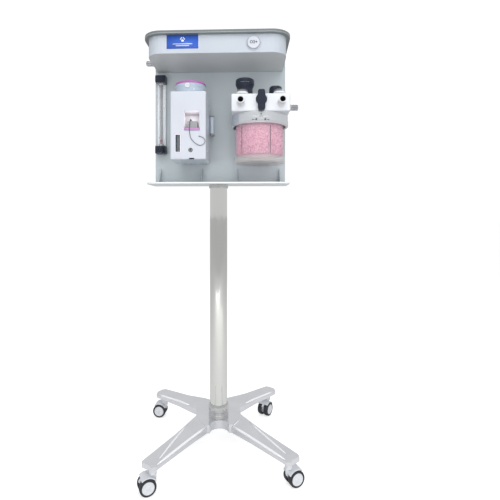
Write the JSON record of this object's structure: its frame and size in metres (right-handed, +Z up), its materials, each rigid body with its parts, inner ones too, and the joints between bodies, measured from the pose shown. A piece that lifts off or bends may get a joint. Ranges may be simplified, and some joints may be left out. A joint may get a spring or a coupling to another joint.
{
  "type": "veterinary anesthesia machine",
  "caption": "Veterinary anesthesia machine: a castor column stand carrying a panel with tray, flowmeter, vaporizer and absorber canister.",
  "frame": {"origin": "on the column's axis at floor level, under the middle of the castor base", "axes": "+Z up, +X along the front panel to the operator's right, front faces -Y"},
  "size_m": [0.5519, 0.567, 1.395],
  "materials": {
    "polished_aluminium": "polished",
    "chrome": "mirror bright",
    "chrome_fittings": "chrome plated",
    "castor_grey": "moulded",
    "castor_tyre": "satin",
    "pale_enamel": "satin powder coat",
    "tray_enamel": "satin moulded",
    "satin_ring": "satin",
    "brass": "turned",
    "black_plastic": "satin moulded",
    "vaporizer_white": "gloss",
    "mount_grey": "cast",
    "dial_slate": "satin",
    "purple_plastic": "gloss",
    "dark_glass": "gloss",
    "plug_grey": "moulded",
    "tether": "satin",
    "float_red": "gloss",
    "clear_plastic": "clear",
    "white_plastic": "gloss",
    "ring_grey": "gloss",
    "disc_white": "ceramic white",
    "absorbent_pink": "granular"
  },
  "bodies": {
    "stand": {"base_star": "polished_aluminium", "column_foot": "polished_aluminium", "column_tube": "chrome", "column_collar": "polished_aluminium", "shelf": "pale_enamel", "back_panel": "pale_enamel", "gusset_1": "pale_enamel", "gusset_2": "pale_enamel", "gusset_3": "pale_enamel", "gusset_4": "pale_enamel", "tray_shell": "tray_enamel", "tray_bottom": "tray_enamel", "flush_bezel": "satin_ring", "flush_valve": "brass", "gas_inlet": "chrome_fittings", "flowmeter_head": "black_plastic", "flowmeter_guard": "clear_plastic", "flowmeter_tube": "clear_plastic", "flowmeter_base": "black_plastic", "vaporizer_mount": "mount_grey", "vaporizer_body": "vaporizer_white", "filler_plug": "plug_grey", "filler_lip": "purple_plastic", "sight_glass": "dark_glass", "tether_cord": "tether", "gas_outlet": "chrome_fittings", "absorber_bracket": "mount_grey", "absorber_head": "white_plastic", "breathing_port_left": "white_plastic", "breathing_port_right": "white_plastic", "valve_dome_left": "clear_plastic", "valve_dome_right": "clear_plastic", "hose_spigot": "chrome_fittings"},
    "castor_front_left": {"castor_frame_front_left": "castor_grey"},
    "castor_wheel_front_left_left": {"castor_wheel_front_left_left": "castor_tyre"},
    "castor_wheel_front_left_right": {"castor_wheel_front_left_right": "castor_tyre"},
    "castor_front_right": {"castor_frame_front_right": "castor_grey"},
    "castor_wheel_front_right_left": {"castor_wheel_front_right_left": "castor_tyre"},
    "castor_wheel_front_right_right": {"castor_wheel_front_right_right": "castor_tyre"},
    "castor_rear_left": {"castor_frame_rear_left": "castor_grey"},
    "castor_wheel_rear_left_left": {"castor_wheel_rear_left_left": "castor_tyre"},
    "castor_wheel_rear_left_right": {"castor_wheel_rear_left_right": "castor_tyre"},
    "castor_rear_right": {"castor_frame_rear_right": "castor_grey"},
    "castor_wheel_rear_right_left": {"castor_wheel_rear_right_left": "castor_tyre"},
    "castor_wheel_rear_right_right": {"castor_wheel_rear_right_right": "castor_tyre"},
    "flow_knob": {"flow_knob": "black_plastic"},
    "flow_float": {"flow_float": "float_red"},
    "vaporizer_dial": {"vaporizer_dial": "dial_slate", "dial_ring": "purple_plastic"},
    "dial_lock_button": {"dial_lock_button": "white_plastic"},
    "drain_screw": {"drain_screw": "chrome_fittings"},
    "pressure_knob": {"pressure_knob": "black_plastic"},
    "vent_knob": {"vent_knob": "black_plastic"},
    "selector_lever": {"selector_lever": "black_plastic"},
    "lock_ring": {"lock_ring": "ring_grey"},
    "canister": {"canister": "clear_plastic", "absorbent": "absorbent_pink"},
    "valve_disc_left": {"valve_disc_left": "disc_white"},
    "valve_disc_right": {"valve_disc_right": "disc_white"},
    "flush_button": {"flush_button": "white_plastic"}
  },
  "joints": [
    {"name": "castor_front_left_swivel", "type": "hinge", "parent": "stand", "child": "castor_front_left", "pos_m": [-0.1755, -0.24764, 0.08], "axis": [0, 0, 1], "continuous": true},
    {"name": "castor_wheel_front_left_left_roll", "type": "hinge", "parent": "castor_front_left", "child": "castor_wheel_front_left_left", "pos_m": [-0.18971, -0.25958, 0.025], "axis": [0.4384, -0.8988, 0], "continuous": true},
    {"name": "castor_wheel_front_left_right_roll", "type": "hinge", "parent": "castor_front_left", "child": "castor_wheel_front_left_right", "pos_m": [-0.19366, -0.25149, 0.025], "axis": [0.4384, -0.8988, 0], "continuous": true},
    {"name": "castor_front_right_swivel", "type": "hinge", "parent": "stand", "child": "castor_front_right", "pos_m": [0.22316, -0.20574, 0.08], "axis": [0, 0, 1], "continuous": true},
    {"name": "castor_wheel_front_right_left_roll", "type": "hinge", "parent": "castor_front_right", "child": "castor_wheel_front_right_left", "pos_m": [0.23736, -0.19381, 0.025], "axis": [-0.4384, 0.8988, 0], "continuous": true},
    {"name": "castor_wheel_front_right_right_roll", "type": "hinge", "parent": "castor_front_right", "child": "castor_wheel_front_right_right", "pos_m": [0.24131, -0.2019, 0.025], "axis": [-0.4384, 0.8988, 0], "continuous": true},
    {"name": "castor_rear_left_swivel", "type": "hinge", "parent": "stand", "child": "castor_rear_left", "pos_m": [-0.22878, 0.20398, 0.08], "axis": [0, 0, 1], "continuous": true},
    {"name": "castor_wheel_rear_left_left_roll", "type": "hinge", "parent": "castor_rear_left", "child": "castor_wheel_rear_left_left", "pos_m": [-0.2471, 0.20107, 0.025], "axis": [-0.0872, -0.9962, 0], "continuous": true},
    {"name": "castor_wheel_rear_left_right_roll", "type": "hinge", "parent": "castor_rear_left", "child": "castor_wheel_rear_left_right", "pos_m": [-0.24632, 0.21003, 0.025], "axis": [-0.0872, -0.9962, 0], "continuous": true},
    {"name": "castor_rear_right_swivel", "type": "hinge", "parent": "stand", "child": "castor_rear_right", "pos_m": [0.18137, 0.24709, 0.08], "axis": [0, 0, 1], "continuous": true},
    {"name": "castor_wheel_rear_right_left_roll", "type": "hinge", "parent": "castor_rear_right", "child": "castor_wheel_rear_right_left", "pos_m": [0.17596, 0.22934, 0.025], "axis": [0.8572, -0.515, 0], "continuous": true},
    {"name": "castor_wheel_rear_right_right_roll", "type": "hinge", "parent": "castor_rear_right", "child": "castor_wheel_rear_right_right", "pos_m": [0.16824, 0.23398, 0.025], "axis": [0.8572, -0.515, 0], "continuous": true},
    {"name": "flow_knob_turn", "type": "hinge", "parent": "stand", "child": "flow_knob", "pos_m": [-0.2135, 0.04, 1.036], "axis": [0, -1, 0], "range_deg": [0, 540]},
    {"name": "flow_float_rise", "type": "slide", "parent": "stand", "child": "flow_float", "axis": [0, 0, 1], "range_m": [0, 0.195]},
    {"name": "vaporizer_dial_turn", "type": "hinge", "parent": "stand", "child": "vaporizer_dial", "pos_m": [-0.0935, -0.03, 1.23], "axis": [0, 0, 1], "range_deg": [0, 270]},
    {"name": "dial_lock_press", "type": "slide", "parent": "vaporizer_dial", "child": "dial_lock_button", "axis": [0.0767, 0.9971, 0], "range_m": [0, 0.003], "stiffness_N_per_m": 400, "springref_m": -0.002},
    {"name": "drain_screw_turn", "type": "hinge", "parent": "stand", "child": "drain_screw", "pos_m": [-0.0852, -0.098, 1.017], "axis": [0, -1, 0], "range_deg": [0, 720]},
    {"name": "pressure_knob_turn", "type": "hinge", "parent": "stand", "child": "pressure_knob", "pos_m": [0.092, -0.04, 1.22], "axis": [0, 0, 1], "range_deg": [0, 300]},
    {"name": "vent_knob_turn", "type": "hinge", "parent": "stand", "child": "vent_knob", "pos_m": [0.1955, -0.04, 1.21], "axis": [0, 0, 1], "range_deg": [0, 270]},
    {"name": "selector_lever_turn", "type": "hinge", "parent": "stand", "child": "selector_lever", "pos_m": [0.145, -0.118, 1.1745], "axis": [0, -1, 0], "range_deg": [0, 90]},
    {"name": "lock_ring_turn", "type": "hinge", "parent": "stand", "child": "lock_ring", "pos_m": [0.1415, -0.026, 1.12], "axis": [0, 0, 1], "range_deg": [0, 35]},
    {"name": "canister_drop", "type": "slide", "parent": "stand", "child": "canister", "axis": [0, 0, -1], "range_m": [0, 0.055]},
    {"name": "valve_disc_left_lift", "type": "slide", "parent": "stand", "child": "valve_disc_left", "axis": [0, 0, 1], "range_m": [0, 0.004]},
    {"name": "valve_disc_right_lift", "type": "slide", "parent": "stand", "child": "valve_disc_right", "axis": [0, 0, 1], "range_m": [0, 0.004]},
    {"name": "flush_press", "type": "slide", "parent": "stand", "child": "flush_button", "axis": [0, 1, 0], "range_m": [0, 0.005], "stiffness_N_per_m": 600, "springref_m": -0.003}
  ]
}
